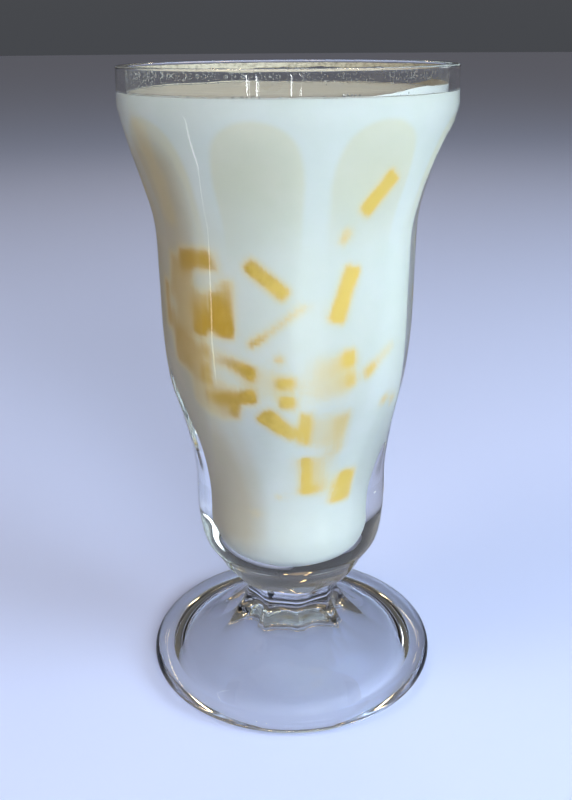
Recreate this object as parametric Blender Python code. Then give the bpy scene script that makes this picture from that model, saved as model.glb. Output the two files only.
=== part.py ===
"""A footed tulip glass of yogurt drink, modelled at its real size.

The glass is one pressed piece: a round foot with a rolled edge, a short fluted
stem, and a bowl whose eight long panels run up to an arch under the rim band.
The drink fills the bowl to a few millimetres under the rim.

The frame is +Z up, with the origin at the centre of the face that the foot
stands on. The front of the glass looks along -Y. Lengths in this script are
millimetres until the meshes are made, and Blender's units are metres.
"""

import math

import bmesh
import bpy
from mathutils import Matrix, Vector
from mathutils.geometry import interpolate_bezier

METRES_PER_MM = 0.001

# Driving dimensions of the glass
GLASS_HEIGHT = 185.0
RIM_RADIUS = 47.0
FOOT_RADIUS = 44.2
WAIST_RADIUS = 37.8
LOWER_RADIUS = 29.1
NECK_RADIUS = 14.1
RIM_WALL = 2.8
FOOT_EDGE_THICKNESS = 6.2
FOOT_HOLLOW_HEIGHT = 14.6
FOOT_HOLLOW_RADIUS = 38.0
CAVITY_FLOOR = 39.6

# The drink
DRINK_LEVEL = 178.0
MENISCUS_RISE = 0.7
MENISCUS_WIDTH = 2.6
GAP_TO_GLASS = 0.3

# The panels: their number, where the rib beside the front stands, and how far
# the middle of a panel comes in from the ribs' circle, as a share of its radius
PANELS = 8
FRONT_RIB_DEG = 11.0
PANEL_SHARE = 0.943
RIB_HALF_WIDTH_DEG = 3.4
EDGE_SOFTNESS = 0.012
NO_PANEL = 1.03

# Faces round the glass for each panel, and steps along each stretch of an outline
FACES_PER_PANEL = 7
ARC_STEPS = 6
SMOOTH_STEPS = 2
DRINK_FACES_ROUND = 48


def arc(centre_radius, centre_height, size, start_deg, end_deg, panel=NO_PANEL):
    """Points on a round stretch of an outline, from start to end."""
    points = []
    for step in range(ARC_STEPS + 1):
        turn = math.radians(start_deg + (end_deg - start_deg) * step / ARC_STEPS)
        radius = centre_radius + size * math.cos(turn)
        height = centre_height + size * math.sin(turn)
        points.append(Vector((radius, height, panel)))
    return points


def round_line(stations):
    """Points where the form is round, from stations that are each a radius and a height."""
    return [Vector((radius, height, NO_PANEL)) for radius, height in stations]


def smooth_line(stations):
    """A smooth line through stations, in even steps along each stretch between two of them."""
    points = [stations[0]]
    last = len(stations) - 1
    for index in range(last):
        start, end = stations[index], stations[index + 1]
        before = stations[max(index - 1, 0)]
        after = stations[min(index + 2, last)]
        leave = start + (end - before) / 6
        arrive = end - (after - start) / 6
        points += interpolate_bezier(start, leave, arrive, end, SMOOTH_STEPS + 1)[1:]
    return points


def foot_underside():
    """From the axis out to the flat ring that the glass stands on: a domed hollow."""
    hollow = [
        (0.0, FOOT_HOLLOW_HEIGHT),
        (7.5, 13.7),
        (13.0, 11.8),
        (18.0, 9.2),
        (23.0, 6.8),
        (29.0, 4.5),
        (33.5, 2.9),
        (36.4, 1.2),
        (FOOT_HOLLOW_RADIUS, 0.0),
    ]
    return round_line(hollow)


def foot_edge():
    """The rolled edge of the foot, from the standing ring up and round to its top."""
    roll = FOOT_EDGE_THICKNESS / 2
    return arc(FOOT_RADIUS - roll, roll, roll, -90.0, 90.0)


def stem_stations():
    """The top of the foot and the flutes of the stem: each a radius, a height and a panel share."""
    return [
        (37.4, 6.6, NO_PANEL),
        (31.5, 7.5, 1.0),
        (26.0, 9.5, 0.985),
        (20.8, 13.0, 0.960),
        (17.0, 16.9, 0.940),
        (14.7, 21.0, 0.925),
        (NECK_RADIUS, 25.0, 0.930),
        (15.4, 28.6, 0.945),
        (18.8, 30.5, 0.965),
    ]


def bowl_stations():
    """The outside of the bowl at its ribs, from its base up to the rim band."""
    share = PANEL_SHARE
    return [
        (20.4, 32.2, 0.970),
        (23.7, 37.7, NO_PANEL),
        (27.4, 44.0, 1.015),
        (28.9, 55.0, 0.995),
        (LOWER_RADIUS, 67.0, 0.992),
        (31.6, 80.6, 0.974),
        (35.7, 95.0, 0.946),
        (37.3, 109.0, share),
        (WAIST_RADIUS, 127.0, share),
        (38.5, 142.2, share),
        (41.5, 153.8, 0.944),
        (44.9, 164.8, 0.968),
        (47.1, 173.6, NO_PANEL),
    ]


def outside_wall():
    """The outside of the glass from the foot's top up to the rim band."""
    return smooth_line([Vector(station) for station in stem_stations() + bowl_stations()])


def rim():
    """The plain band and the rounded lip, from the outside over to the inside."""
    lip = RIM_WALL / 2
    band = round_line([(47.3, 174.8), (47.2, 179.0)])
    return band + arc(RIM_RADIUS - lip, GLASS_HEIGHT - lip, lip, 0.0, 180.0)


def cavity(inset=0.0):
    """The inside of the bowl, from where the drink meets it down to the axis, moved in by inset."""
    stations = [
        (44.2, DRINK_LEVEL + MENISCUS_RISE),
        (43.4, 172.0),
        (38.3, 158.5),
        (33.2, 143.5),
        (31.4, 127.0),
        (30.9, 109.5),
        (28.1, 96.0),
        (21.8, 83.5),
        (17.1, 73.0),
        (14.9, 62.0),
        (14.4, 52.0),
        (14.0, 46.6),
        (11.8, 42.0),
        (6.5, 40.0),
        (0.0, CAVITY_FLOOR),
    ]
    line = smooth_line(round_line(stations))
    return [moved_in(line, index, inset) for index in range(len(line))]


def moved_in(line, index, inset):
    """One point of an outline that runs down the cavity, moved off the wall by inset."""
    before = line[max(index - 1, 0)]
    after = line[min(index + 1, len(line) - 1)]
    along = Vector((after.x - before.x, after.y - before.y)).normalized()
    if index == len(line) - 1:
        along = Vector((-1.0, 0.0))
    point = line[index]
    return Vector((point.x + along.y * inset, point.y - along.x * inset, point.z))


def glass_outline():
    """The whole section of the glass, from the axis under the foot to the cavity's floor."""
    return foot_underside() + foot_edge() + outside_wall() + rim() + cavity()


def drink_outline():
    """The section of the drink, from its surface on the axis out, then down the wall."""
    wall = cavity(GAP_TO_GLASS)
    edge = wall[0].x
    surface = [
        (0.0, DRINK_LEVEL),
        (edge * 0.5, DRINK_LEVEL),
        (edge - MENISCUS_WIDTH, DRINK_LEVEL),
        (edge - MENISCUS_WIDTH * 0.3, DRINK_LEVEL + MENISCUS_RISE * 0.3),
    ]
    return round_line(surface) + wall


def panel_scale(share, degrees):
    """How far out the wall stands at an angle, as a share of the ribs' radius there."""
    sector = 360.0 / PANELS
    off_centre = (degrees - FRONT_RIB_DEG) % sector - sector / 2
    rib_edge = sector / 2 - RIB_HALF_WIDTH_DEG
    curve = (1.0 - min(share, PANEL_SHARE)) / rib_edge**2
    panel = share + curve * off_centre**2
    if panel >= 1.0 + EDGE_SOFTNESS:
        return 1.0
    blend = min(max(0.5 + 0.5 * (panel - 1.0) / EDGE_SOFTNESS, 0.0), 1.0)
    return panel + (1.0 - panel) * blend - EDGE_SOFTNESS * blend * (1.0 - blend)


def angles_round(faces_per_panel):
    """The angles of the glass's upright edges, with two on each rib's sides."""
    sector = 360.0 / PANELS
    inner_steps = faces_per_panel - 2
    angles = []
    for number in range(PANELS):
        rib = FRONT_RIB_DEG + number * sector
        first = rib + RIB_HALF_WIDTH_DEG
        width = sector - 2 * RIB_HALF_WIDTH_DEG
        angles.append(rib)
        angles += [first + width * step / inner_steps for step in range(inner_steps + 1)]
    return angles


def turned_mesh(name, outline, angles):
    """A closed mesh: the outline spun round Z, its uprights moved to the given angles."""
    form = bmesh.new()
    share = form.verts.layers.float.new("panel_share")
    corners = [form.verts.new((0.0, -point.x, point.y)) for point in outline]
    for corner, point in zip(corners, outline):
        corner[share] = point.z
    for start, end in zip(corners, corners[1:]):
        form.edges.new((start, end))
    bmesh.ops.spin(
        form,
        geom=form.verts[:] + form.edges[:],
        cent=(0.0, 0.0, 0.0),
        axis=(0.0, 0.0, 1.0),
        angle=math.tau,
        steps=len(angles),
        use_merge=True,
    )
    place_uprights(form, share, angles)
    bmesh.ops.remove_doubles(form, verts=form.verts, dist=0.001)
    bmesh.ops.recalc_face_normals(form, faces=form.faces)
    bmesh.ops.transform(form, matrix=Matrix.Scale(METRES_PER_MM, 4), verts=form.verts)
    mesh = bpy.data.meshes.new(name)
    form.to_mesh(mesh)
    form.free()
    return mesh


def place_uprights(form, share, angles):
    """Turns each upright to its own angle, and brings the panels in from the ribs."""
    for corner in form.verts:
        radius = math.hypot(corner.co.x, corner.co.y)
        if radius < 0.001:
            continue
        turn = math.degrees(math.atan2(corner.co.x, -corner.co.y)) % 360.0
        number = round(turn * len(angles) / 360.0) % len(angles)
        degrees = angles[number]
        radius *= panel_scale(corner[share], degrees)
        corner.co.x = radius * math.sin(math.radians(degrees))
        corner.co.y = -radius * math.cos(math.radians(degrees))


def glass_material():
    """Clear soda-lime glass."""
    material = bpy.data.materials.new("clear_glass")
    material.use_nodes = True
    shader = material.node_tree.nodes["Principled BSDF"]
    shader.inputs["Base Color"].default_value = (0.93, 0.95, 0.97, 1.0)
    shader.inputs["Roughness"].default_value = 0.03
    shader.inputs["Metallic"].default_value = 0.0
    shader.inputs["IOR"].default_value = 1.52
    shader.inputs["Transmission Weight"].default_value = 1.0
    return material


def drink_material():
    """Thin white yogurt drink, a little warm."""
    material = bpy.data.materials.new("yogurt_drink")
    material.use_nodes = True
    shader = material.node_tree.nodes["Principled BSDF"]
    shader.inputs["Base Color"].default_value = (0.84, 0.85, 0.80, 1.0)
    shader.inputs["Roughness"].default_value = 0.35
    shader.inputs["Metallic"].default_value = 0.0
    shader.inputs["Subsurface Weight"].default_value = 0.3
    shader.inputs["Subsurface Radius"].default_value = (0.003, 0.003, 0.0025)
    return material


def add_node(name, mesh, material, smooth_below_deg):
    """Puts a mesh in the scene as a named object with its material."""
    mesh.materials.append(material)
    mesh.shade_smooth()
    mesh.set_sharp_from_angle(angle=math.radians(smooth_below_deg))
    node = bpy.data.objects.new(name, mesh)
    bpy.context.scene.collection.objects.link(node)
    return node


def build():
    """Clears the scene and makes the glass and the drink."""
    for old in list(bpy.data.objects):
        bpy.data.objects.remove(old)
    glass_angles = angles_round(FACES_PER_PANEL)
    glass = turned_mesh("glass", glass_outline(), glass_angles)
    add_node("glass", glass, glass_material(), smooth_below_deg=40.0)
    drink_angles = [360.0 * number / DRINK_FACES_ROUND for number in range(DRINK_FACES_ROUND)]
    drink = turned_mesh("drink", drink_outline(), drink_angles)
    add_node("drink", drink, drink_material(), smooth_below_deg=40.0)


build()
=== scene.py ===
# %% [markdown]
# # A glass of yogurt drink with coconut jelly
#
# The real thing is a footed dessert glass, pressed in one piece, filled with milky yogurt drink.
# Strips and slabs of yellow jelly are sunk in the drink, and those close to the wall show
# through it as soft yellow patches.
#
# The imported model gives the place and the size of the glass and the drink. This script makes
# both again with many more faces, adds what the solids leave out, and gives each piece its finish.

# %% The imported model
import math
import random

import bmesh
import bpy
from mathutils import Matrix, Vector, noise
from mathutils.bvhtree import BVHTree
from mathutils.geometry import interpolate_bezier


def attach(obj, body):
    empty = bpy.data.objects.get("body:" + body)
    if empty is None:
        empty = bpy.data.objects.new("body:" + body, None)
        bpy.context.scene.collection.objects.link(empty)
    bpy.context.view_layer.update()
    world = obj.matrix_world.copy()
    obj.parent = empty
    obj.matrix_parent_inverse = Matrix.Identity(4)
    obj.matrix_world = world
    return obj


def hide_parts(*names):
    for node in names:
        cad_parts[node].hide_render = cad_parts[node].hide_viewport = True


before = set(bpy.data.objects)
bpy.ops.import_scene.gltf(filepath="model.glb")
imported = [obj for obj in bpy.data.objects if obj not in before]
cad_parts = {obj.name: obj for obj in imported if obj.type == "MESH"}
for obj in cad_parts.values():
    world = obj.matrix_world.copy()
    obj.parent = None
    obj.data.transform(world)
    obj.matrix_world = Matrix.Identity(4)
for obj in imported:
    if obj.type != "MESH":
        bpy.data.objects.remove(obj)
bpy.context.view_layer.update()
MM = 0.001


# %% [markdown]
# ## The camera
#
# The camera comes first, so that every later step can be looked at. It stands close, a little
# above the rim, and looks down 16 degrees. The lens is given in pixels of the picture, from
# which Blender's lens in millimetres follows. A small shift puts the glass where the picture
# has it without turning the camera.

# %% The camera
PICTURE_HEIGHT = 800
LENS_IN_PIXELS = 959.14
SHIFT_RIGHT, SHIFT_UP = -3.5, -87.85
CAMERA_DISTANCE, CAMERA_HEIGHT = 273.5, 192.0
LOOKS_DOWN_DEG, LEANS_DEG = 16.0, -0.4

camera_data = bpy.data.cameras.new("camera")
camera_data.sensor_width = 36.0
camera_data.lens = LENS_IN_PIXELS * camera_data.sensor_width / PICTURE_HEIGHT
camera_data.shift_x = SHIFT_RIGHT / PICTURE_HEIGHT
camera_data.shift_y = SHIFT_UP / PICTURE_HEIGHT
camera_data.clip_start = 0.01
camera = bpy.data.objects.new("camera", camera_data)
camera.matrix_world = (
    Matrix.Translation((0.0, -CAMERA_DISTANCE * MM, CAMERA_HEIGHT * MM))
    @ Matrix.Rotation(math.radians(90.0 - LOOKS_DOWN_DEG), 4, "X")
    @ Matrix.Rotation(math.radians(LEANS_DEG), 4, "Z")
)
bpy.context.scene.collection.objects.link(camera)
bpy.context.scene.camera = camera
print("lens:", round(camera_data.lens, 2), "mm")

# %% [markdown]
# ## One outline, turned
#
# A pressed glass is a turned form, so its section is drawn once and spun round the axis. Eight
# flat panels are then pressed into the wall: every point of the section carries a share, which
# says how far in the middle of a panel comes at that height. A share over one means that the
# wall is round there. Where the share fades back to one, under the rim band, each panel ends in
# an arch by itself, as on the real glass.
#
# The stations are the same as the solid's. Only the steps between them are finer here, and the
# ribs between the panels are a little crisper. The lip is the one other change: on the real
# glass its corners are soft but small, so the band ends almost square, as its outline shows.

# %% Named sizes of the glass and the drink
GLASS_HEIGHT, RIM_RADIUS, FOOT_RADIUS = 185.0, 47.15, 44.2
WAIST_RADIUS, LOWER_RADIUS, NECK_RADIUS = 37.8, 29.1, 14.1
RIM_WALL, FOOT_EDGE_THICKNESS, CAVITY_FLOOR = 2.8, 6.2, 39.6
LIP_CORNER = 0.65
FOOT_HOLLOW_HEIGHT, FOOT_HOLLOW_RADIUS = 14.6, 38.0
DRINK_LEVEL, MENISCUS_RISE, MENISCUS_WIDTH = 178.0, 0.15, 2.6
INTO_THE_WALL = 0.05

PANELS, FRONT_RIB_DEG, PANEL_SHARE = 8, 11.0, 0.943
RIB_HALF_WIDTH_DEG, EDGE_SOFTNESS, NO_PANEL = 3.4, 0.005, 1.03
FACES_PER_PANEL, ARC_STEPS = 36, 12


# %% Helpers that draw an outline
def round_line(stations):
    """Points where the form is round, from stations that are each a radius and a height."""
    return [Vector((radius, height, NO_PANEL)) for radius, height in stations]


def arc(centre_radius, centre_height, size, start_deg, end_deg):
    """Points on a round stretch of an outline."""
    points = []
    for step in range(ARC_STEPS + 1):
        turn = math.radians(start_deg + (end_deg - start_deg) * step / ARC_STEPS)
        across, up = size * math.cos(turn), size * math.sin(turn)
        points.append((centre_radius + across, centre_height + up))
    return round_line(points)


def smooth_line(stations, steps):
    """A smooth line through stations, in even steps along each stretch between two of them."""
    points = [stations[0]]
    last = len(stations) - 1
    for index in range(last):
        start, end = stations[index], stations[index + 1]
        before, after = stations[max(index - 1, 0)], stations[min(index + 2, last)]
        leave, arrive = start + (end - before) / 6, end - (after - start) / 6
        points += interpolate_bezier(start, leave, arrive, end, steps + 1)[1:]
    return points


# %% The section of the glass
def foot_underside():
    """From the axis out to the flat ring that the glass stands on: a domed hollow."""
    hollow = [
        (0.0, FOOT_HOLLOW_HEIGHT),
        (7.5, 13.7),
        (13.0, 11.8),
        (18.0, 9.2),
        (23.0, 6.8),
        (29.0, 4.5),
        (33.5, 2.9),
        (36.4, 1.2),
        (FOOT_HOLLOW_RADIUS, 0.0),
    ]
    return smooth_line(round_line(hollow), steps=4)


def foot_edge():
    """The rolled edge of the foot."""
    roll = FOOT_EDGE_THICKNESS / 2
    return arc(FOOT_RADIUS - roll, roll, roll, -90.0, 90.0)


def outside_wall():
    """From the foot's top over the fluted stem and the panelled bowl, up to the rim band."""
    share = PANEL_SHARE
    stem = [
        (37.4, 6.6, NO_PANEL),
        (31.5, 7.5, 1.0),
        (26.0, 9.5, 0.985),
        (20.8, 13.0, 0.960),
        (17.0, 16.9, 0.940),
        (14.7, 21.0, 0.925),
        (NECK_RADIUS, 25.0, 0.930),
        (15.4, 28.6, 0.945),
        (18.8, 30.5, 0.965),
    ]
    bowl = [
        (20.4, 32.2, 0.970),
        (23.7, 37.7, NO_PANEL),
        (27.4, 44.0, 1.015),
        (28.9, 55.0, 0.995),
        (LOWER_RADIUS, 67.0, 0.992),
        (31.6, 80.6, 0.974),
        (35.7, 95.0, 0.946),
        (37.3, 109.0, share),
        (WAIST_RADIUS, 127.0, share),
        (38.5, 142.2, share),
        (41.5, 153.8, 0.944),
        (44.9, 164.8, 0.968),
        (47.1, 173.6, NO_PANEL),
    ]
    return smooth_line([Vector(station) for station in stem + bowl], steps=6)


def rim():
    """The plain band and the lip, which is nearly flat on top with soft corners."""
    outside = [(47.3, 174.8), (47.2, 179.0), (47.16, 183.2)]
    inside = [(44.36, 183.2), (44.38, 178.9)]
    corner, height = LIP_CORNER, GLASS_HEIGHT - LIP_CORNER
    outer_corner = arc(RIM_RADIUS - corner, height, corner, 0.0, 90.0)
    inner_corner = arc(RIM_RADIUS - RIM_WALL + corner, height, corner, 90.0, 180.0)
    return round_line(outside) + outer_corner + inner_corner + round_line(inside)


def cavity(steps, inset=0.0):
    """The inside of the bowl, from where the drink meets it down to the axis."""
    stations = [
        (44.40, DRINK_LEVEL + MENISCUS_RISE),
        (43.4, 172.0),
        (38.3, 158.5),
        (33.2, 143.5),
        (31.4, 127.0),
        (30.9, 109.5),
        (28.1, 96.0),
        (21.8, 83.5),
        (17.1, 73.0),
        (14.9, 62.0),
        (14.4, 52.0),
        (14.0, 46.6),
        (11.8, 42.0),
        (6.5, 40.0),
        (0.0, CAVITY_FLOOR),
    ]
    line = smooth_line(round_line(stations), steps)
    return [moved_in(line, index, inset) for index in range(len(line))]


def moved_in(line, index, inset):
    """One point of the cavity's outline, moved off the wall by inset."""
    before, after = line[max(index - 1, 0)], line[min(index + 1, len(line) - 1)]
    along = Vector((after.x - before.x, after.y - before.y)).normalized()
    if index == len(line) - 1:
        along = Vector((-1.0, 0.0))
    return line[index] + Vector((along.y * inset, -along.x * inset, 0.0))


# %% Angles round the glass
def degrees_round(point):
    """The angle of a point round the glass, from the front over to the right."""
    return math.degrees(math.atan2(point.x, -point.y))


def round_place(radius, degrees, height):
    """The point at a radius, such an angle and a height."""
    turn = math.radians(degrees)
    return Vector((radius * math.sin(turn), -radius * math.cos(turn), height))


# %% Turning an outline into a mesh
def panel_scale(share, degrees):
    """How far out the wall stands at an angle, as a share of the ribs' radius there."""
    sector = 360.0 / PANELS
    off_centre = (degrees - FRONT_RIB_DEG) % sector - sector / 2
    rib_edge = sector / 2 - RIB_HALF_WIDTH_DEG
    panel = share + (1.0 - min(share, PANEL_SHARE)) * (off_centre / rib_edge) ** 2
    if panel >= 1.0 + EDGE_SOFTNESS:
        return 1.0
    blend = min(max(0.5 + 0.5 * (panel - 1.0) / EDGE_SOFTNESS, 0.0), 1.0)
    return panel + (1.0 - panel) * blend - EDGE_SOFTNESS * blend * (1.0 - blend)


def turned(outline, steps):
    """A closed bmesh in millimetres: the outline spun round Z, then pressed in at the panels."""
    form = bmesh.new()
    share = form.verts.layers.float.new("panel_share")
    corners = [form.verts.new((0.0, -point.x, point.y)) for point in outline]
    for corner, point in zip(corners, outline):
        corner[share] = point.z
    for start, end in zip(corners, corners[1:]):
        form.edges.new((start, end))
    everything = form.verts[:] + form.edges[:]
    axis = (0.0, 0.0, 1.0)
    bmesh.ops.spin(form, geom=everything, axis=axis, angle=math.tau, steps=steps, use_merge=True)
    for corner in form.verts:
        scale = panel_scale(corner[share], degrees_round(corner.co))
        corner.co.x *= scale
        corner.co.y *= scale
    bmesh.ops.remove_doubles(form, verts=form.verts, dist=0.001)
    bmesh.ops.recalc_face_normals(form, faces=form.faces)
    return form


def finished(name, form, smooth=True):
    """A mesh object at the origin from a bmesh in millimetres."""
    bmesh.ops.transform(form, matrix=Matrix.Scale(MM, 4), verts=form.verts)
    mesh = bpy.data.meshes.new(name)
    form.to_mesh(mesh)
    form.free()
    if smooth:
        mesh.shade_smooth()
    piece = bpy.data.objects.new(name, mesh)
    bpy.context.scene.collection.objects.link(piece)
    mesh.calc_loop_triangles()
    print(f"{name}: {len(mesh.loop_triangles)} triangles")
    return piece


def join_in(form, part):
    """Moves the faces of a smaller bmesh into a larger one."""
    mesh = bpy.data.meshes.new("part")
    part.to_mesh(mesh)
    part.free()
    form.from_mesh(mesh)
    bpy.data.meshes.remove(mesh)


# %% The pressed glass
glass_line = foot_underside() + foot_edge() + outside_wall() + rim() + cavity(steps=5)
pressed_glass = finished("pressed_glass", turned(glass_line, PANELS * FACES_PER_PANEL))

# %% [markdown]
# ## The jelly
#
# The jelly is cut in strips about 5 mm wide and in broader slabs. The pieces that show lie
# against the wall, so each is made as a bevelled, slightly uneven block and then laid on the
# cavity's wall: its length and width run over the wall, and its thickness goes inwards. A piece
# may dip, so that one end or one side lies deeper in the drink and fades. The unevenness is a
# noise, which Blender would start at another place in each run, so it gets a fixed seed.

# %% The wall as a surface to lay pieces on
SHALLOWEST = 0.12
SOFT_EDGE, UNEVEN_BY, UNEVEN_SCALE, UNEVEN_SEED = 0.14, 0.35, 0.25, 7

noise.seed_set(UNEVEN_SEED)
wall_line = cavity(steps=8)


def on_wall(degrees, height, depth):
    """The point at an angle and a height that lies depth inside the cavity's wall."""
    for upper, lower in zip(wall_line, wall_line[1:]):
        if upper.y >= height >= lower.y:
            break
    share = (upper.y - height) / max(upper.y - lower.y, 1e-6)
    radius = upper.x + (lower.x - upper.x) * share
    slope = Vector((upper.x - lower.x, upper.y - lower.y)).normalized()
    return round_place(radius - slope.y * depth, degrees, height + slope.x * depth)


def add_jelly(form, length, width, thickness, lay, seed):
    """One soft-edged, slightly uneven block, laid in place by lay(along, across, deep)."""
    block = bmesh.new()
    bmesh.ops.create_cube(block, size=1.0)
    bmesh.ops.scale(block, vec=(length, width, thickness), verts=block.verts)
    bmesh.ops.subdivide_edges(block, edges=block.edges, cuts=5, use_grid_fill=True)
    sharp = [edge for edge in block.edges if edge.calc_face_angle(0.0) > 1.0]
    offset = SOFT_EDGE * min(thickness, width)
    bmesh.ops.bevel(
        block, geom=sharp, offset=offset, segments=2, profile=0.5, affect="EDGES", material=-1
    )
    own_place = Vector((seed * 7.1, seed * 3.3, 0.0))
    for corner in block.verts:
        corner.co += noise.noise_vector(corner.co * UNEVEN_SCALE + own_place) * UNEVEN_BY
        corner.co = lay(corner.co.x, corner.co.y, corner.co.z)
    join_in(form, block)


def laid_on_wall(degrees, height, turn_deg, depth, dip_along=0.0, dip_across=0.0):
    """A function that lays a flat block on the wall, its middle at an angle and a height."""
    turn = math.radians(turn_deg)
    radius = on_wall(degrees, height, 0.0).xy.length

    def lay(along, across, deep):
        sideways = along * math.sin(turn) + across * math.cos(turn)
        upwards = across * math.sin(turn) - along * math.cos(turn)
        sunk = max(depth + deep + along * dip_along + across * dip_across, SHALLOWEST)
        return on_wall(degrees + math.degrees(sideways / radius), height + upwards, sunk)

    return lay


# %% [markdown]
# The tables below are the serving: for each piece its angle round the glass and its height, then
# its length and width, how it is turned (0 is upright, positive leans to the right going down),
# how deep its near face lies, and how much it dips along and across. All are millimetres and
# degrees. A dip is millimetres of depth per millimetre, and one that is left out is none.

# %% The pieces at the front
STRIP_THICKNESS = 2.8
STRIPS = [
    # angle, height, length, width, turn, depth, dip along, dip across
    (25.3, 127.0, 16.3, 5.6, -18, 0.25),
    (-10.2, 131.7, 14.6, 4.9, 50, 0.35),
    (-31.3, 122.9, 17.3, 5.4, -2, 0.55, -0.06),
    (-5.5, 118.9, 20.5, 2.0, -52, 0.5, -0.01),
    (-16.0, 114.7, 5.5, 2.8, -55, 0.35),
    (37.8, 153.9, 13.2, 5.6, -36, 0.3),
    (24.4, 143.1, 5.2, 3.3, -22, 0.7),
    (29.6, 85.7, 14.7, 5.7, 6, 1.1, 0.03),
    (-4.2, 89.8, 11.8, 4.8, 47, 0.3, 0.02),
    (-9.8, 90.4, 8.6, 4.8, 52, 0.3, 0.05),
    (9.2, 89.0, 11.5, 2.1, 1, 0.25),
    (21.1, 107.5, 10.6, 5.5, 111, 1.1, -0.10),
    (29.2, 109.1, 5.5, 4.4, 3, 0.3),
    (21.8, 100.9, 10.6, 4.8, 112, 1.25, -0.10),
    (31.4, 102.4, 4.6, 3.4, 7, 0.45),
    (43.1, 103.9, 5.4, 4.2, 125, 0.55),
    (53.9, 107.9, 8.6, 3.5, 124, 1.3),
    (64.3, 92.8, 4.4, 3.5, 78, 0.8),
    (-27.1, 107.0, 11.5, 4.8, 68, 0.6, -0.08),
    (-31.6, 97.4, 14.0, 4.6, 98, 0.45, -0.06),
    (-32.5, 93.3, 5.5, 3.7, -17, 0.4),
    (-44.7, 120.7, 13.2, 5.1, -3, 0.6, -0.06),
    (-37.8, 121.9, 12.4, 2.2, -2, 0.55, -0.02),
    (-41.4, 111.1, 4.0, 2.2, -4, 0.45),
    (-42.8, 103.3, 5.5, 2.9, -4, 0.55),
    (-37.2, 136.1, 5.1, 1.4, -5, 0.55),
    (11.6, 72.0, 14.2, 2.8, 3, 0.25),
    (16.0, 66.6, 5.4, 3.4, 82, 0.45, 0.03),
]
SLAB_THICKNESS = 4.2
SLABS = [
    (19.4, 71.8, 13.9, 7.6, 5, 1.3, 0.0, 0.05),
    (52.0, 65.5, 12.0, 8.2, -7, 0.45, 0.0, 0.03),
    (-1.0, 102.8, 6.2, 4.5, 93, 0.4, 0.09),
    (-0.1, 97.2, 5.2, 4.3, 92, 0.25, 0.02),
    (18.0, 87.4, 12.1, 6.3, 11, 1.9),
    (21.0, 104.2, 13.5, 13.0, 81, 1.8),
    (-4.7, 109.9, 3.0, 2.4, 92, 0.4),
    (-48.0, 135.4, 14.5, 7.2, 100, 0.5, 0.0, 0.03),
    (-58.0, 124.0, 22.0, 11.0, -4, 1.2),
    (-70.5, 128.5, 15.0, 5.6, -9, 1.2),
    (-71.0, 112.0, 14.0, 5.4, 24, 1.0),
    (-82.0, 119.0, 15.0, 5.2, 4, 0.9),
    (-57.5, 107.0, 12.5, 19.0, -10, 0.9, 0.0, 0.01),
    (-60.0, 167.5, 12.0, 9.0, -24, 1.7, 0.0, 0.05),
    (-63.0, 152.0, 18.0, 10.0, -14, 2.1),
    (-45.0, 97.0, 12.8, 14.5, -14, 1.45),
    (-14.0, 103.0, 12.0, 9.0, 75, 1.9),
    (-35.4, 57.0, 2.8, 2.0, -2, 0.8),
    (-9.3, 64.1, 2.0, 1.8, 97, 0.5),
]

# %% [markdown]
# Round the sides and the back the serving goes on in the same way. Those pieces are scattered by
# a rule: a random place on the wall is kept when it is far enough from the ones before it. The
# random numbers come from a fixed seed, so the glass is the same each time.

# %% The pieces round the back
TRIES, SCATTERED, APART, STRIP_SHARE = 900, 30, 12.5, 0.72
BACK_DEG, BACK_HEIGHTS = (104.0, 254.0), (57.0, 152.0)

scatter = random.Random(11)
centres = []
for _ in range(TRIES):
    degrees, height = scatter.uniform(*BACK_DEG), scatter.uniform(*BACK_HEIGHTS)
    place = on_wall(degrees, height, 0.0)
    nearest = min([(place - other).length for other in centres], default=math.inf)
    if len(centres) == SCATTERED or nearest < APART:
        continue
    centres.append(place)
    depth, dip = scatter.uniform(0.3, 1.3), scatter.uniform(-0.06, 0.06)
    turn_deg = scatter.uniform(-80.0, 100.0)
    if scatter.random() < STRIP_SHARE:
        length, width = scatter.uniform(8.0, 16.0), scatter.uniform(3.6, 5.0)
        STRIPS.append((degrees, height, length, width, turn_deg, depth, dip))
    else:
        length, width = scatter.uniform(6.5, 11.0), scatter.uniform(6.0, 7.5)
        SLABS.append((degrees, height, length, width, turn_deg, depth, 0.0, dip))
print("strips:", len(STRIPS), "slabs:", len(SLABS))


# %% Laying the serving
NEAREST = 1.0


def laid_pieces(name, table, thickness, first_seed):
    """All pieces of one table as one object."""
    form = bmesh.new()
    for number, row in enumerate(table):
        degrees, height, length, width, turn_deg, depth, *dips = row
        middle = depth + NEAREST + thickness / 2
        lay = laid_on_wall(degrees, height, turn_deg, middle, *dips)
        add_jelly(form, length, width, thickness, lay, seed=first_seed + number)
    return finished(name, form)


jelly_strips = laid_pieces("jelly_strips", STRIPS, STRIP_THICKNESS, first_seed=0)
jelly_slabs = laid_pieces("jelly_slabs", SLABS, SLAB_THICKNESS, first_seed=100)

# %% [markdown]
# ## The drink
#
# The drink is turned from the cavity's outline. It reaches a hair into the glass, so that no
# film of air lies between the two. Milk hides what is in it within a few millimetres, so jelly
# shows only where it is close to the wall, and the deeper it lies the fainter and softer it gets.
#
# A real volume would be slow and noisy. Instead each point of the drink's skin looks inwards
# along a small cone of lines and keeps how much jelly it meets, and how near. The finish turns
# that value into colour. Near faces get crisp edges and deep ones soft edges, as in real milk.

# %% The turned drink
DRINK_FACES_ROUND = 352
MENISCUS = [(1.0, 0.0), (0.55, 0.1), (0.25, 0.38)]  # share of its width, share of its rise

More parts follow.
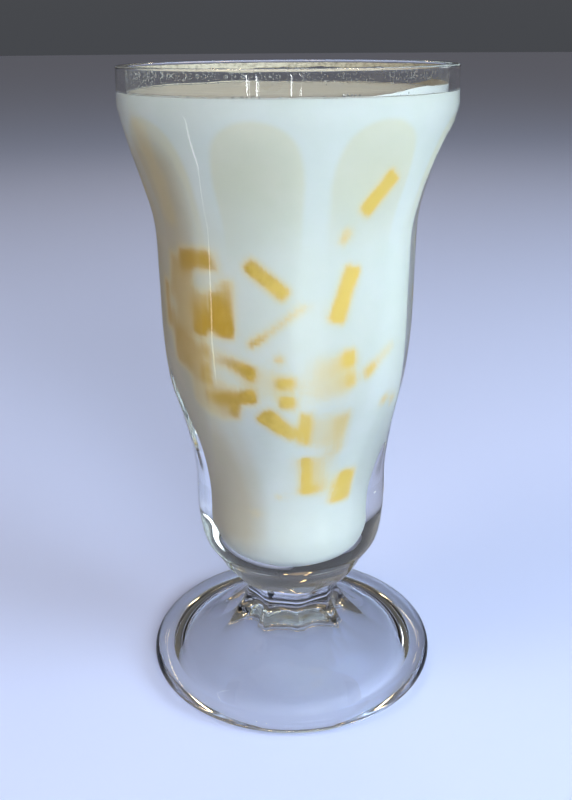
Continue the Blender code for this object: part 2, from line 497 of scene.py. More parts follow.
skin_line = cavity(steps=15, inset=-INTO_THE_WALL)
drink_edge = skin_line[0].x
surface = [(drink_edge * share, DRINK_LEVEL) for share in (0.0, 0.25, 0.5, 0.75)]
for away, risen in MENISCUS:
    surface.append((drink_edge - MENISCUS_WIDTH * away, DRINK_LEVEL + MENISCUS_RISE * risen))
drink_form = turned(round_line(surface) + skin_line, DRINK_FACES_ROUND)
drink_form.normal_update()


# %% What each point of the skin sees
def tree_in_mm(pieces):
    """A search tree over finished pieces, in millimetres."""
    together = bmesh.new()
    for piece in pieces:
        together.from_mesh(piece.data)
    bmesh.ops.scale(together, vec=(1 / MM, 1 / MM, 1 / MM), verts=together.verts)
    tree = BVHTree.FromBMesh(together)
    together.free()
    return tree


MILK_CLEARS_WITHIN = 2.8
MILK_HIDES_BEYOND = 6.5
CONE = [(0.0, 1, 1.0), (20.0, 5, 0.9), (38.0, 8, 0.6), (52.0, 8, 0.3)]  # lean, lines, weight
ASIDE = Vector((0.3, 0.2, 1.0))


def cone_of_lines(inwards):
    """Directions round the inward one, each with its weight."""
    side = inwards.cross(ASIDE).normalized()
    lines = []
    for lean, count, weight in CONE:
        leaned = Matrix.Rotation(math.radians(lean), 3, side) @ inwards
        for number in range(count):
            lines.append((Matrix.Rotation(math.tau * number / count, 3, inwards) @ leaned, weight))
    return lines


jelly_tree = tree_in_mm([jelly_strips, jelly_slabs])
seen = drink_form.verts.layers.float.new("jelly_seen")
looked = 0
for corner in drink_form.verts:
    if jelly_tree.find_nearest(corner.co, MILK_HIDES_BEYOND)[0] is None:
        continue
    looked += 1
    total, weights = 0.0, 0.0
    for line, weight in cone_of_lines(-corner.normal):
        distance = jelly_tree.ray_cast(corner.co, line, MILK_HIDES_BEYOND)[3]
        weights += weight
        if distance is not None:
            total += weight * math.exp(-distance / MILK_CLEARS_WITHIN)
    corner[seen] = total / weights
print("points of the skin that look for jelly:", looked, "of", len(drink_form.verts))

# %% [markdown]
# Behind the upper part of each panel the milk looks a little duller and yellower than behind the
# ribs and the rim band, because the flat glass gathers less light there. That shade is painted
# into the milk's colour: the skin keeps a second value for it, one behind the middle of a panel,
# nothing behind a rib or above the arch. A third value paints shade in the same way on the left
# side, where the glass turns towards the unlit part of the room and the milk behind it looks
# browner. It reaches further forward low down, and fades towards the back, the rim band and the
# bottom.

# %% Painted shade behind the panels
outer_line = outside_wall()
PANEL_SHADE_FROM, PANEL_SHADE_FULL, SEEN_LOWER = 132.0, 162.0, 4.1
HARDLY_PRESSED, WELL_PRESSED = -0.002, 0.012


def ramp(value, start, end):
    """Nothing at start, one at end, and even steps between them."""
    return min(max((value - start) / (end - start), 0.0), 1.0)


def share_at(height):
    """The panel share of the outside wall at a height."""
    for lower, upper in zip(outer_line, outer_line[1:]):
        if lower.y <= height <= upper.y:
            rise = max(upper.y - lower.y, 1e-6)
            return lower.z + (upper.z - lower.z) * (height - lower.y) / rise
    return NO_PANEL


# how much painted shade each point of the skin gets behind a panel
behind = drink_form.verts.layers.float.new("painted_panel_shade")
for corner in drink_form.verts:
    if corner.co.z < PANEL_SHADE_FROM or corner.normal.z > 0.5:
        continue
    pressed = 1.0 - panel_scale(share_at(corner.co.z - SEEN_LOWER), degrees_round(corner.co))
    rise = ramp(corner.co.z, PANEL_SHADE_FROM, PANEL_SHADE_FULL)
    corner[behind] = ramp(pressed, HARDLY_PRESSED, WELL_PRESSED) * rise

# %% Painted shade on the left side
LEFT_SHADE_FROM_DEG, FORWARD_LOW_DOWN_DEG, GROWS_OVER_DEG = -29.0, 14.0, 33.0
FORWARD_BETWEEN, FADES_BEHIND_DEG = (100.0, 60.0), (-140.0, -112.0)
FADES_UNDER_RIM, FADES_AT_BOTTOM = (172.0, 162.0), (40.0, 50.0)


def painted_left_shade_at(point):
    """How far the painted brownish shade of the left side has come at a point of the skin."""
    degrees = degrees_round(point)
    start = LEFT_SHADE_FROM_DEG + FORWARD_LOW_DOWN_DEG * ramp(point.z, *FORWARD_BETWEEN)
    across = ramp(degrees, start, start - GROWS_OVER_DEG) * ramp(degrees, *FADES_BEHIND_DEG)
    return across * ramp(point.z, *FADES_UNDER_RIM) * ramp(point.z, *FADES_AT_BOTTOM)


# how much painted shade each point of the skin gets on the left side
left_shade_layer = drink_form.verts.layers.float.new("painted_left_shade")
for corner in drink_form.verts:
    corner[left_shade_layer] = painted_left_shade_at(corner.co)
yogurt_drink = finished("yogurt_drink", drink_form)

# %% [markdown]
# ## Film, drops and bubbles
#
# Drink that has washed up the wall leaves a thin film with an uneven edge, highest at the right
# of the front, fine drops above it, and a few bubbles where the surface meets the glass. The film
# is a grid of faces bent round the wall and then given its thickness. Its two edges follow a
# smooth random line. The drops are copies of one small bead. They are finest at the front, and
# thickest at both ends of the band, where the eye looks along the wall through many of them.

# %% The film on the wall
FILM_THICKNESS, FILM_STARTS, FILM_ENDS, LEAST_FILM = 0.12, 0.25, 0.22, 0.05
WASHED_UP, WASHED_UP_BEHIND = 1.8, 0.2
STREAKS_START, STREAKS_END = 182.6, 184.2
FILM_WALL_RADIUS, WALL_LEANS_IN = 44.36, 0.008


def wall_point(degrees, height):
    """A point on the inside of the rim band, which leans in a little going up."""
    radius = FILM_WALL_RADIUS - WALL_LEANS_IN * (height - DRINK_LEVEL)
    return round_place(radius, degrees, height)


def uneven(degrees, seed, scale=1.0):
    """A smooth random number from -1 to 1 that closes up round the glass."""
    turn = math.radians(degrees)
    return noise.noise(Vector((math.cos(turn) * 3.2 * scale, math.sin(turn) * 3.2 * scale, seed)))


def hump(degrees, middle, half_width):
    """One at the middle angle, fading to nothing half_width away."""
    off = abs((degrees - middle + 180.0) % 360.0 - 180.0) / half_width
    return max(0.0, 1.0 - off * off) ** 2


def film_foot(degrees):
    """The lower edge of the film, just over the drink's edge."""
    return DRINK_LEVEL + FILM_STARTS


def film_top(degrees):
    """The upper edge of the film: higher at the right of the front, where drink washed up."""
    front = WASHED_UP * min(2.2 * hump(degrees, 75.0, 52.0), 1.0)
    washed = front + WASHED_UP_BEHIND * hump(degrees, -150.0, 60.0)
    fine = 0.10 * uneven(degrees, 5.0, 6.0) + 0.22 * uneven(degrees, 2.0)
    return DRINK_LEVEL + MENISCUS_RISE + FILM_ENDS + washed + fine


def streak_foot(degrees):
    """The lower edge of the film that is left under the lip, round the back."""
    return STREAKS_START + 0.75 * uneven(degrees, 9.0, 1.4) + 0.3 * uneven(degrees, 3.0, 6.0)


def streak_top(degrees):
    """The upper edge of that film, just under the lip's round."""
    return STREAKS_END + 0.15 * uneven(degrees, 12.0, 3.0)


def add_film(form, foot, top, first_deg, last_deg, columns, rows):
    """A sheet between two edges that are each a height for an angle."""
    sheet = bmesh.new()
    bmesh.ops.create_grid(sheet, x_segments=columns, y_segments=rows, size=0.5)
    for corner in sheet.verts:
        degrees = first_deg + (last_deg - first_deg) * (corner.co.x + 0.5)
        low = foot(degrees)
        high = max(top(degrees), low + LEAST_FILM)
        corner.co = wall_point(degrees, low + (high - low) * (corner.co.y + 0.5))
    bmesh.ops.remove_doubles(sheet, verts=sheet.verts, dist=0.001)
    bmesh.ops.recalc_face_normals(sheet, faces=sheet.faces)
    bmesh.ops.solidify(sheet, geom=sheet.faces[:], thickness=FILM_THICKNESS)
    bmesh.ops.recalc_face_normals(sheet, faces=sheet.faces)
    join_in(form, sheet)


film_form = bmesh.new()
add_film(film_form, film_foot, film_top, 0.0, 360.0, columns=720, rows=8)
add_film(film_form, streak_foot, streak_top, 98.0, 262.0, columns=360, rows=8)
milk_film = finished("milk_film", film_form)

# %% Beads, for drops and bubbles
def plain_bead(rounds, rings):
    """One round bead of radius one, to be copied."""
    bead = bmesh.new()
    bmesh.ops.create_uvsphere(bead, u_segments=rounds, v_segments=rings, radius=1.0)
    mesh = bpy.data.meshes.new("bead")
    bead.to_mesh(mesh)
    bead.free()
    return mesh


def add_bead(form, bead, place, size, flatten, tall=1.0):
    """A copy of the bead that faces outwards from the axis, flattened against the wall."""
    outwards = Vector((place.x, place.y, 0.0)).normalized()
    turn = outwards.to_track_quat("Z", "Y").to_matrix().to_4x4()
    copied = bead.copy()
    squash = Matrix.Diagonal((size, size * tall, size * flatten, 1.0))
    copied.transform(Matrix.Translation(place) @ turn @ squash)
    form.from_mesh(copied)
    bpy.data.meshes.remove(copied)


# %% Drops on the wall
BACK_DROPS, FRONT_DROPS, END_DROPS = 900, 700, 900
SIDE_DROP_EVERY, DROP_FLATNESS = 9, 0.45
HIGHEST_BACK_DROP, HIGHEST_DROP = 183.8, 184.1

drops = random.Random(23)
drop_form = bmesh.new()
small_bead = plain_bead(rounds=7, rings=4)


def either_side(nearest_deg, furthest_deg):
    """A random angle on a random side of the front."""
    return drops.choice([-1.0, 1.0]) * drops.uniform(nearest_deg, furthest_deg)


def add_drop(degrees, lowest, highest, smallest, largest):
    """One drop of random height and size, at an angle."""
    height, size = drops.uniform(lowest, highest), drops.uniform(smallest, largest)
    add_bead(drop_form, small_bead, wall_point(degrees, height), size, DROP_FLATNESS)


for number in range(BACK_DROPS):
    if number % SIDE_DROP_EVERY:
        degrees = drops.uniform(95.0, 265.0)
        add_drop(degrees, film_top(degrees) + 0.1, HIGHEST_BACK_DROP, 0.09, 0.26)
    else:
        degrees = either_side(30.0, 95.0)
        add_drop(degrees, film_top(degrees) + 0.1, HIGHEST_BACK_DROP, 0.045, 0.13)
for _ in range(FRONT_DROPS):
    add_drop(drops.uniform(-98.0, 98.0), 181.3, HIGHEST_DROP, 0.05, 0.13)
for _ in range(END_DROPS):
    add_drop(either_side(62.0, 112.0), 179.2, HIGHEST_DROP, 0.05, 0.16)
wall_drops = finished("wall_drops", drop_form)

# %% Bubbles where the surface meets the glass
ROW_OF_BUBBLES, LOOSE_BUBBLES, BUBBLE_FLATNESS = 5, 44, 0.9
OFF_THE_WALL, OUT_OF_THE_DRINK = 0.85, 0.35

bubbles = random.Random(31)
bubble_form = bmesh.new()
fine_bead = plain_bead(rounds=14, rings=9)


def add_bubble(degrees, size, lift=0.0, tall=1.0):
    """A bubble that lies half sunk where the drink meets the wall."""
    radius = FILM_WALL_RADIUS - size * OFF_THE_WALL
    height = DRINK_LEVEL + (MENISCUS_RISE + size) * OUT_OF_THE_DRINK + lift
    place = round_place(radius, degrees, height)
    add_bead(bubble_form, fine_bead, place, size, BUBBLE_FLATNESS, tall)


for number in range(ROW_OF_BUBBLES):
    add_bubble(17.0 + number * 1.25, 0.42 - 0.04 * number, lift=0.55)
add_bubble(40.0, 0.62, lift=0.5, tall=1.5)
for degrees, size in ((-10.5, 0.5), (-8.6, 0.36), (-12.4, 0.3), (36.6, 0.4), (52.0, 0.45)):
    add_bubble(degrees, size, lift=0.2)
for _ in range(LOOSE_BUBBLES):
    add_bubble(bubbles.uniform(0.0, 360.0), bubbles.uniform(0.16, 0.5))
surface_bubbles = finished("surface_bubbles", bubble_form)

# %% [markdown]
# ## Finishes
#
# Each finish is a Principled shader with its own nodes. Two effects are node groups with named
# inputs, so that each material gives them its own values: a soft mottle, which milk, film and
# jelly all have, and the slow waves and worn marks of pressed glass.

# %% Helpers for node trees
def new_material(name):
    """A new material, its node tree and its Principled shader."""
    material = bpy.data.materials.new(name)
    material.use_nodes = True
    return material, material.node_tree, material.node_tree.nodes["Principled BSDF"]


def set_up(node, values):
    """Gives a shader or another node its constant values, by the names of its sockets."""
    for name, value in values.items():
        node.inputs[name].default_value = value


def fed(tree, socket, value):
    """Gives a socket its value: a number, a colour, or another socket to be linked to."""
    if isinstance(value, bpy.types.NodeSocket):
        tree.links.new(value, socket)
    elif isinstance(value, tuple):
        socket.default_value = (*value, 1.0)
    else:
        socket.default_value = value


def noise_node(tree, place, scale, detail=2.0, roughness=0.5):
    """A noise texture that reads the given coordinates."""
    made = tree.nodes.new("ShaderNodeTexNoise")
    set_up(made, {"Scale": scale, "Detail": detail, "Roughness": roughness})
    tree.links.new(place, made.inputs["Vector"])
    return made


def mixed(tree, factor, first, second, blend_type="MIX"):
    """A colour between two others; each may be a colour or the socket that gives one."""
    made = tree.nodes.new("ShaderNodeMix")
    made.data_type = "RGBA"
    made.blend_type = blend_type
    for socket, value in (("Factor", factor), ("A", first), ("B", second)):
        fed(tree, made.inputs[socket], value)
    return made.outputs["Result"]


def ranged(tree, value, low, high, to_low=0.0, to_high=1.0):
    """A value mapped smoothly from one range to another and kept inside it."""
    made = tree.nodes.new("ShaderNodeMapRange")
    made.interpolation_type = "SMOOTHSTEP"
    set_up(made, {"From Min": low, "From Max": high, "To Min": to_low, "To Max": to_high})
    tree.links.new(value, made.inputs["Value"])
    return made.outputs["Result"]


def tinted(tree, colour, tint, amount):
    """A colour multiplied by a tint, as far as an amount from 0 to 1 says."""
    wholly = mixed(tree, 1.0, colour, tint, blend_type="MULTIPLY")
    return mixed(tree, ranged(tree, amount, 0.0, 1.0), colour, wholly)


def reckoned(tree, operation, *values):
    """The result of one operation on numbers, or on the sockets that give them."""
    made = tree.nodes.new("ShaderNodeMath")
    made.operation = operation
    for socket, value in zip(made.inputs, values):
        fed(tree, socket, value)
    return made.outputs[0]


def place_parts(tree, coordinates="Object"):
    """Where a point lies, as three outputs X, Y and Z; in metres for an object."""
    place = tree.nodes.new("ShaderNodeTexCoord")
    parts = tree.nodes.new("ShaderNodeSeparateXYZ")
    tree.links.new(place.outputs[coordinates], parts.inputs[0])
    return parts.outputs


def kept_value(tree, name):
    """A value that the mesh keeps for each of its points."""
    made = tree.nodes.new("ShaderNodeAttribute")
    made.attribute_name = name
    return made.outputs["Fac"]


def bumped(tree, shader, height, strength, distance):
    """Makes a shader's surface look uneven by a height from 0 to 1, over a distance in metres."""
    made = tree.nodes.new("ShaderNodeBump")
    set_up(made, {"Strength": strength, "Distance": distance})
    tree.links.new(height, made.inputs["Height"])
    tree.links.new(made.outputs["Normal"], shader.inputs["Normal"])


def group_in(tree, group, **values):
    """Places a node group in a material, with its own values."""
    made = tree.nodes.new("ShaderNodeGroup")
    made.node_tree = group
    set_up(made, values)
    place = tree.nodes.new("ShaderNodeTexCoord")
    tree.links.new(place.outputs["Object"], made.inputs["Place"])
    return made


# %% Group: soft mottle
MOTTLE_INPUTS, GRAIN_SCALE = {"Size": 60.0, "Contrast": 1.0}, 900.0


def new_group(name, inputs, outputs):
    """A node group with a place to read, number inputs with defaults, and number outputs."""
    group = bpy.data.node_groups.new(name, "ShaderNodeTree")
    group.interface.new_socket("Place", in_out="INPUT", socket_type="NodeSocketVector")
    for socket, value in inputs.items():
        made = group.interface.new_socket(socket, in_out="INPUT", socket_type="NodeSocketFloat")
        made.default_value = value
    for socket in outputs:
        group.interface.new_socket(socket, in_out="OUTPUT", socket_type="NodeSocketFloat")
    return group, group.nodes.new("NodeGroupInput"), group.nodes.new("NodeGroupOutput")


soft_mottle, mottle_in, mottle_out = new_group("soft_mottle", MOTTLE_INPUTS, ["Cloud", "Grain"])
cloud = noise_node(soft_mottle, mottle_in.outputs["Place"], MOTTLE_INPUTS["Size"], detail=3.0)
soft_mottle.links.new(mottle_in.outputs["Size"], cloud.inputs["Scale"])
spread = ranged(soft_mottle, cloud.outputs["Fac"], 0.3, 0.7)
clouds = reckoned(soft_mottle, "MULTIPLY", spread, mottle_in.outputs["Contrast"])
soft_mottle.links.new(clouds, mottle_out.inputs["Cloud"])
grain = noise_node(soft_mottle, mottle_in.outputs["Place"], GRAIN_SCALE)
soft_mottle.links.new(grain.outputs["Fac"], mottle_out.inputs["Grain"])

# %% Group: pressed waves
WAVES_INPUTS, MARKS_SCALE = {"Size": 45.0}, 700.0

pressed_waves, waves_in, waves_out = new_group("pressed_waves", WAVES_INPUTS, ["Waves", "Marks"])
slow = noise_node(pressed_waves, waves_in.outputs["Place"], WAVES_INPUTS["Size"], detail=1.0)
pressed_waves.links.new(waves_in.outputs["Size"], slow.inputs["Scale"])
pressed_waves.links.new(slow.outputs["Fac"], waves_out.inputs["Waves"])
fine = noise_node(pressed_waves, waves_in.outputs["Place"], MARKS_SCALE, detail=4.0, roughness=0.7)
marks = ranged(pressed_waves, fine.outputs["Fac"], 0.52, 0.74)
pressed_waves.links.new(marks, waves_out.inputs["Marks"])

# %% [markdown]
# ### Glass
#
# Pressed glass is clear, but never perfectly even: slow waves from the mould bend what is seen
# through it. Where it stands on tables and where it is held and drunk from it is finely worn, so
# its roughness rises a little at the standing ring and at the lip.

# %% Glass
STANDING_RING_UP_TO, LIP_FROM, LIP_WORN = 0.0012, 0.1838, 0.35
POLISHED, SCUFFED = 0.006, 0.22

glass_material, tree, glass_shader = new_material("clear_glass")
set_up(glass_shader, {"Base Color": (0.985, 0.992, 0.995, 1.0), "IOR": 1.52})
set_up(glass_shader, {"Transmission Weight": 1.0})
waves = group_in(tree, pressed_waves, Size=45.0)
height = place_parts(tree)["Z"]
worn_ring = ranged(tree, height, 0.0, STANDING_RING_UP_TO, 1.0, 0.0)
worn_lip = ranged(tree, height, LIP_FROM, GLASS_HEIGHT * MM, 0.0, LIP_WORN)
worn = reckoned(tree, "MAXIMUM", worn_ring, worn_lip)
marked = reckoned(tree, "MULTIPLY", worn, waves.outputs["Marks"])
roughness = ranged(tree, marked, 0.0, 1.0, POLISHED, SCUFFED)
tree.links.new(roughness, glass_shader.inputs["Roughness"])
bumped(tree, glass_shader, waves.outputs["Waves"], strength=0.35, distance=0.0006)
pressed_glass.data.materials.append(glass_material)

# %% [markdown]
# ### Drink
#
# Against the glass the drink has no gloss of its own, so its shader there is nearly matt. Its
# open surface is wet and a little duller and creamier. Both share the milk's mottle, and the
# wall side also shows the jelly: faint jelly is pale cream, near jelly full yellow. Away from the
# window the yellow is painted deeper, as painted shade: the colour follows the place across the
# glass, with the mottle on top. The milk also carries the painted shade behind the panels and on
# the left side.

# %% Drink
MILK, MILK_SHADE = (0.82, 0.86, 0.81), (0.79, 0.84, 0.77)
PANEL_PAINTED_SHADE, LEFT_PAINTED_SHADE = (1.0, 0.945, 0.81), (0.89, 0.77, 0.63)
PALE_JELLY, FULL_JELLY = (0.91, 0.74, 0.36), (0.92, 0.65, 0.148)
DEEP_JELLY_AND_SHADE = (0.66, 0.395, 0.042)
JELLY_SHADED_AT, JELLY_UNSHADED_AT, MOTTLE_MOVES_IT = -0.022, -0.003, -0.007
PALE_WHEN_SEEN, YELLOW_WHEN_SEEN, COVERS_WHEN_SEEN = 0.20, 0.52, 0.56
JELLY_MOTTLE_SIZE = 260.0

drink_material, tree, drink_shader = new_material("yogurt_drink")
mottle = group_in(tree, soft_mottle, Size=75.0, Contrast=1.0)
milk = mixed(tree, mottle.outputs["Cloud"], MILK, MILK_SHADE)
# painted shade: the milk is darkened and yellowed behind the upper part of each panel
milk = tinted(tree, milk, PANEL_PAINTED_SHADE, kept_value(tree, "painted_panel_shade"))
# painted shade: the milk turns browner on the left, where the glass faces the unlit part of the
# room
milk = tinted(tree, milk, LEFT_PAINTED_SHADE, kept_value(tree, "painted_left_shade"))
jelly_mottle = group_in(tree, soft_mottle, Size=JELLY_MOTTLE_SIZE, Contrast=1.0)
nearness = kept_value(tree, "jelly_seen")
# painted shade: the jelly's yellow deepens towards the left, and the mottle moves where it starts
across, clouds = place_parts(tree)["X"], jelly_mottle.outputs["Cloud"]
shaded_and_clouded = reckoned(tree, "MULTIPLY_ADD", clouds, MOTTLE_MOVES_IT, across)
jelly_shading = ranged(tree, shaded_and_clouded, JELLY_SHADED_AT, JELLY_UNSHADED_AT)
yellow = mixed(tree, jelly_shading, DEEP_JELLY_AND_SHADE, FULL_JELLY)
yellowness = ranged(tree, nearness, PALE_WHEN_SEEN, YELLOW_WHEN_SEEN)
jelly_colour = mixed(tree, yellowness, PALE_JELLY, yellow)
looks = mixed(tree, ranged(tree, nearness, 0.0, COVERS_WHEN_SEEN), milk, jelly_colour)
tree.links.new(looks, drink_shader.inputs["Base Color"])
set_up(drink_shader, {"Roughness": 0.45, "Specular IOR Level": 0.05})
yogurt_drink.data.materials.append(drink_material)

# %% The open surface of the drink
OPEN_SURFACE, OPEN_SURFACE_CREAM = (0.84, 0.79, 0.70), (0.90, 0.82, 0.69)
SURFACE_REACHES_DOWN, FACES_UP = 1.0, 0.3

surface_material, tree, surface_shader = new_material("yogurt_surface")
mottle = group_in(tree, soft_mottle, Size=120.0, Contrast=1.0)
surface_colour = mixed(tree, mottle.outputs["Cloud"], OPEN_SURFACE, OPEN_SURFACE_CREAM)
tree.links.new(surface_colour, surface_shader.inputs["Base Color"])
set_up(surface_shader, {"Roughness": 0.16, "Specular IOR Level": 0.35})
bumped(tree, surface_shader, mottle.outputs["Cloud"], strength=0.2, distance=0.0008)
yogurt_drink.data.materials.append(surface_material)
surface_faces = 0
surface_from = (DRINK_LEVEL - SURFACE_REACHES_DOWN) * MM
for face in yogurt_drink.data.polygons:
    if face.normal.z > FACES_UP and face.center.z > surface_from:
        face.material_index = 1
        surface_faces += 1
print("faces of the open surface:", surface_faces)

# %% [markdown]
# ### Film, drops, bubbles and jelly
#
# Low down at the front the film is fresh: it is whole there, and as white as the milk. Under the
# lip it is too thin to hide the glass everywhere, so its alpha breaks up with a fine grain. There
# and round the back it has dried to cream, and its colour is painted much darker, as shade. Drops
# and bubbles are wet and half clear. The jelly is wet, with a yellow that goes deeper in clouds,
# and a little light goes through it.

# %% Film, drops and bubbles
FRESH_FILM = (0.82, 0.85, 0.80)
DRIED_FILM_PAINTED_SHADE, DRIED_FILM_SHADE_CREAM = (0.36, 0.33, 0.27), (0.44, 0.41, 0.34)
DRY_FROM_HEIGHT, DRY_AT_HEIGHT = 0.1803, 0.1815
SHADED_FROM_BACK, SHADED_AT_BACK = -0.008, 0.012
THIN_GRAIN, THICK_GRAIN, THIN_COVERS = 0.30, 0.55, 0.55
DROP_MILKY, DROP_CLEAR = (0.86, 0.86, 0.82), (0.62, 0.63, 0.62)

film_material, tree, film_shader = new_material("milk_film")
mottle = group_in(tree, soft_mottle, Size=420.0, Contrast=1.0)
place = place_parts(tree)
# painted shade: under the lip and round the back the film is much darker than the milk, besides
# its dried cream hue
dried_and_shaded = mixed(tree, mottle.outputs["Cloud"], DRIED_FILM_PAINTED_SHADE, DRIED_FILM_SHADE_CREAM)
dry_shaded_above = ranged(tree, place["Z"], DRY_FROM_HEIGHT, DRY_AT_HEIGHT)
dry_shaded_behind = ranged(tree, place["Y"], SHADED_FROM_BACK, SHADED_AT_BACK)
film_colour = mixed(tree, reckoned(tree, "MAXIMUM", dry_shaded_above, dry_shaded_behind), FRESH_FILM, dried_and_shaded)
tree.links.new(film_colour, film_shader.inputs["Base Color"])
patchy = ranged(tree, mottle.outputs["Grain"], THIN_GRAIN, THICK_GRAIN, THIN_COVERS, 1.0)
whole_below = ranged(tree, place["Z"], DRY_FROM_HEIGHT, DRY_AT_HEIGHT, 1.0, 0.0)
covers = reckoned(tree, "MAXIMUM", patchy, whole_below)
tree.links.new(covers, film_shader.inputs["Alpha"])
set_up(film_shader, {"Roughness": 0.35})
milk_film.data.materials.append(film_material)

drop_material, tree, drop_shader = new_material("milk_drops")
mottle = group_in(tree, soft_mottle, Size=800.0, Contrast=1.0)
drop_colour = mixed(tree, mottle.outputs["Cloud"], DROP_MILKY, DROP_CLEAR)
tree.links.new(drop_colour, drop_shader.inputs["Base Color"])
set_up(drop_shader, {"Roughness": 0.08, "IOR": 1.34, "Transmission Weight": 0.75})
wall_drops.data.materials.append(drop_material)
surface_bubbles.data.materials.append(drop_material)

# %% Jelly
jelly_material, tree, jelly_shader = new_material("yellow_jelly")
mottle = group_in(tree, soft_mottle, Size=JELLY_MOTTLE_SIZE, Contrast=1.0)
# the deep yellow here is the jelly's own tone, varied at random by the mottle
jelly_looks = mixed(tree, mottle.outputs["Cloud"], FULL_JELLY, DEEP_JELLY_AND_SHADE)
tree.links.new(jelly_looks, jelly_shader.inputs["Base Color"])
set_up(jelly_shader, {"Roughness": 0.18, "Subsurface Weight": 0.3})
set_up(jelly_shader, {"Subsurface Radius": (0.002, 0.0015, 0.0006)})
bumped(tree, jelly_shader, mottle.outputs["Grain"], strength=0.2, distance=0.0003)
for piece in (jelly_strips, jelly_slabs):
    piece.data.materials.append(jelly_material)

# %% [markdown]
# ## The studio
#
# Glass is seen by what it bends and mirrors, so the surroundings matter more than for any other
# material. The floor is a plain pale disc that reaches to the horizon, and the room above it
# goes from dark at the horizon to pale overhead: the dark part draws the edges of the glass. One
# big cool window at the right, a fill from the front, a weak warm one at the left and a small one
# high on that side shape the milk. The lamps fade towards their edges, so that their mirror
# images have no hard border, and those images are weaker than the light, or a smooth foot would
# be full of white spots. Two small warm lamps high behind the glass add glints.
#
# The other highlights are made as a photographer makes them, with cards: bright boards that the
# glass mirrors or bends into view and that light nothing. One low at the right whitens the thick
# lower wall, one overhead draws the lip, four narrow leaning ones give the two pairs of strokes
# on the rim band, one draws the left rib, and small warm ones behind the stem give the glints
# under the drink.

# %% The floor
FLOOR_RADIUS, FLOOR_SIDES, UNDER_THE_FOOT = 12000.0, 96, -0.02

floor_form = bmesh.new()
bmesh.ops.create_circle(floor_form, cap_ends=True, segments=FLOOR_SIDES, radius=FLOOR_RADIUS)
bmesh.ops.translate(floor_form, vec=(0.0, 0.0, UNDER_THE_FOOT), verts=floor_form.verts)
studio_floor = finished("studio_floor", floor_form, smooth=False)
floor_material, tree, floor_shader = new_material("pale_floor")
set_up(floor_shader, {"Base Color": (0.59, 0.65, 0.98, 1.0), "Roughness": 0.7})
studio_floor.data.materials.append(floor_material)


# %% One lamp
LAMPS_AIM_AT = Vector((0.0, 0.0, 0.10))
FADE_FROM, LAMP_EDGE = 0.15, 0.5


def lamp_strength(tree, mirrored, fades, card):
    """How bright each point of a lamp is, for each kind of ray that meets it."""
    spot = tree.nodes.new("ShaderNodeNewGeometry")
    off_middle = tree.nodes.new("ShaderNodeVectorMath")
    off_middle.operation = "DISTANCE"
    off_middle.inputs[1].default_value = (0.5, 0.5, 0.0)
    tree.links.new(spot.outputs["Parametric"], off_middle.inputs[0])
    at_edge = 0.0 if fades else 1.0
    inside = ranged(tree, off_middle.outputs["Value"], FADE_FROM, LAMP_EDGE, 1.0, at_edge)
    ray = tree.nodes.new("ShaderNodeLightPath")
    mirrors = ranged(tree, ray.outputs["Glossy Depth"], 0.0, 1.0, 0.0, 1.0 - mirrored)
    looked_at = ranged(tree, ray.outputs["Diffuse Depth"], 0.0, 1.0, 1.0, 0.0)
    dimmed = reckoned(tree, "MULTIPLY", mirrors, looked_at)
    strength = reckoned(tree, "MULTIPLY", inside, reckoned(tree, "SUBTRACT", 1.0, dimmed))
    return reckoned(tree, "MULTIPLY", strength, looked_at) if card else strength


def soft_lamp(name, place, size, power, colour, mirrored=1.0, fades=True, card=False, roll=0.0):
    """A rectangular lamp, in metres, that points at the glass.

    It may fade towards its edge, its mirror image may be weaker than its light, and it may be
    rolled by some degrees. A card is seen in the glass but lights nothing.
    """
    lamp = bpy.data.lights.new(name, "AREA")
    lamp.shape = "RECTANGLE"
    lamp.size, lamp.size_y = size
    lamp.energy = power
    lamp.color = colour
    lamp.use_nodes = True
    strength = lamp_strength(lamp.node_tree, mirrored, fades, card)
    emission = lamp.node_tree.nodes["Emission"]
    lamp.node_tree.links.new(strength, emission.inputs["Strength"])
    holder = bpy.data.objects.new(name, lamp)
    holder.location = place
    aimed = (LAMPS_AIM_AT - Vector(place)).to_track_quat("-Z", "Y").to_matrix()
    rolled = aimed @ Matrix.Rotation(math.radians(roll), 3, "Z")
    holder.rotation_euler = rolled.to_euler()
    bpy.context.scene.collection.objects.link(holder)
    holder.visible_camera = False
    holder.visible_diffuse = not card
    return holder


# %% Sizes and colours of the small lamps and cards
WARM_GLINT = (1.0, 0.76, 0.45)
BASE_GLINTS_AWAY, BASE_GLINT_POWER, BASE_GLINT_COLOUR = 0.25, 0.0014, (1.0, 0.68, 0.28)
BASE_GLINTS = [(0.010, 0.070), (-0.028, 0.092), (-0.034, 0.068), (-0.042, 0.040)]
RIM_CARDS_HEIGHT, RIM_CARD_POWER, RIM_CARD_COLOUR = 0.171, 0.13, (0.92, 0.97, 1.0)
RIM_CARDS = [(-0.52, -1.08, 12.0), (-0.40, -1.13, 24.0), (0.04, -1.20, 40.0), (0.16, -1.19, 40.0)]


def board(name, place, size, power, colour, roll=0.0):
    """A card."""
    return soft_lamp(name, place, size, power, colour, card=True, roll=roll)


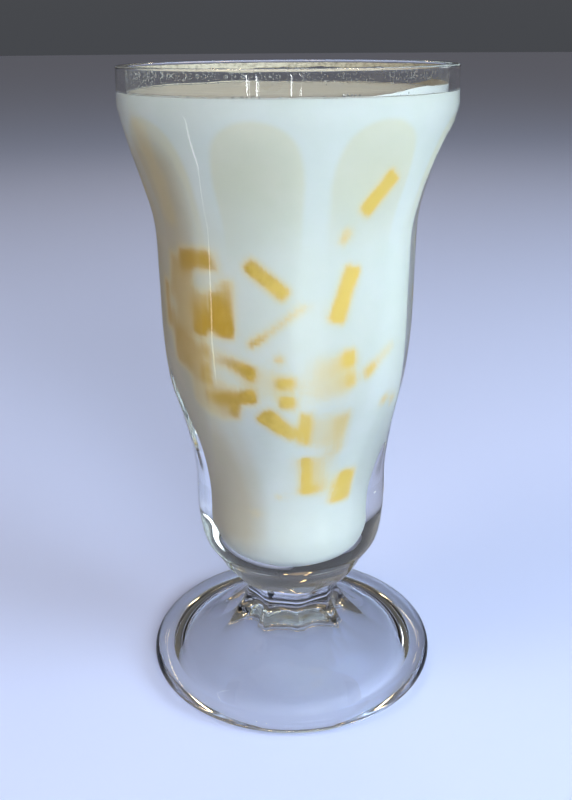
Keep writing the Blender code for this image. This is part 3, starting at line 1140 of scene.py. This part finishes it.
# %% The lamps and cards
soft_lamp("window", (1.05, -0.47, 0.66), (1.4, 1.0), 47.0, (0.78, 0.94, 1.0), mirrored=0.05)
soft_lamp("front_fill", (0.36, -1.22, 0.7), (1.1, 0.8), 50.0, (0.92, 1.0, 1.0), mirrored=0.06)
soft_lamp("left_fill", (-1.15, -0.35, 0.45), (0.9, 0.9), 2.4, (1.0, 0.58, 0.05), mirrored=0.3)
soft_lamp("left_high", (-0.62, -0.30, 1.0), (0.6, 0.6), 9.0, (1.0, 0.93, 0.82), mirrored=0.05)
wall_card = board("wall_card", (0.376, 0.33, 0.055), (0.22, 0.045), 0.2, (0.86, 0.95, 1.0))
wall_card.visible_glossy = False
board("top_card", (0.15, 0.55, 1.0), (1.4, 0.9), 7.5, (0.42, 0.60, 1.0))
for number, (across, height) in enumerate(BASE_GLINTS):
    place = (across, BASE_GLINTS_AWAY, height)
    board(f"base_glint_{number}", place, (0.012, 0.012), BASE_GLINT_POWER, BASE_GLINT_COLOUR)
board("base_glow", (-0.017, 0.26, 0.070), (0.07, 0.05), 0.003, (1.0, 0.70, 0.36))
soft_lamp("back_glint_left", (-0.13, 1.1, 0.75), (0.07, 0.07), 0.5, WARM_GLINT, fades=False)
soft_lamp("back_glint_right", (0.15, 1.2, 0.85), (0.07, 0.07), 0.5, WARM_GLINT, fades=False)
for number, (across, away, roll) in enumerate(RIM_CARDS):
    place = (across, away, RIM_CARDS_HEIGHT)
    board(f"rim_card_{number}", place, (0.017, 0.058), RIM_CARD_POWER, RIM_CARD_COLOUR, roll)
board("rib_card", (-0.143, -0.073, 0.075), (0.005, 0.14), 0.012, (1.0, 0.97, 0.90))

# %% The room
HORIZON, OVERHEAD, ROOM_STRENGTH = (0.25, 0.265, 0.30), (0.80, 0.73, 0.57), 0.24
HORIZON_AT, OVERHEAD_AT = -0.05, 0.9

world = bpy.data.worlds.new("studio")
world.use_nodes = True
bpy.context.scene.world = world
tree = world.node_tree
upwards = place_parts(tree, "Generated")["Z"]
room = mixed(tree, ranged(tree, upwards, HORIZON_AT, OVERHEAD_AT), HORIZON, OVERHEAD)
tree.links.new(room, tree.nodes["Background"].inputs["Color"])
tree.nodes["Background"].inputs["Strength"].default_value = ROOM_STRENGTH
bpy.context.scene.view_settings.view_transform = "Standard"

# %% [markdown]
# ## Everything rides on the part
#
# The part has one body, so every piece rides on it. The turned glass and drink take the place of
# the imported ones, which are hidden.

# %% What moves with what
slots = {
    pressed_glass: "glass",
    yogurt_drink: "drink",
    milk_film: "drink",
    wall_drops: "drink",
    surface_bubbles: "drink",
    jelly_strips: "jelly",
    jelly_slabs: "jelly",
}
for piece, slot in slots.items():
    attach(piece, "root")
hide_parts("glass")
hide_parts("drink")

# %% The end
bpy.context.view_layer.update()
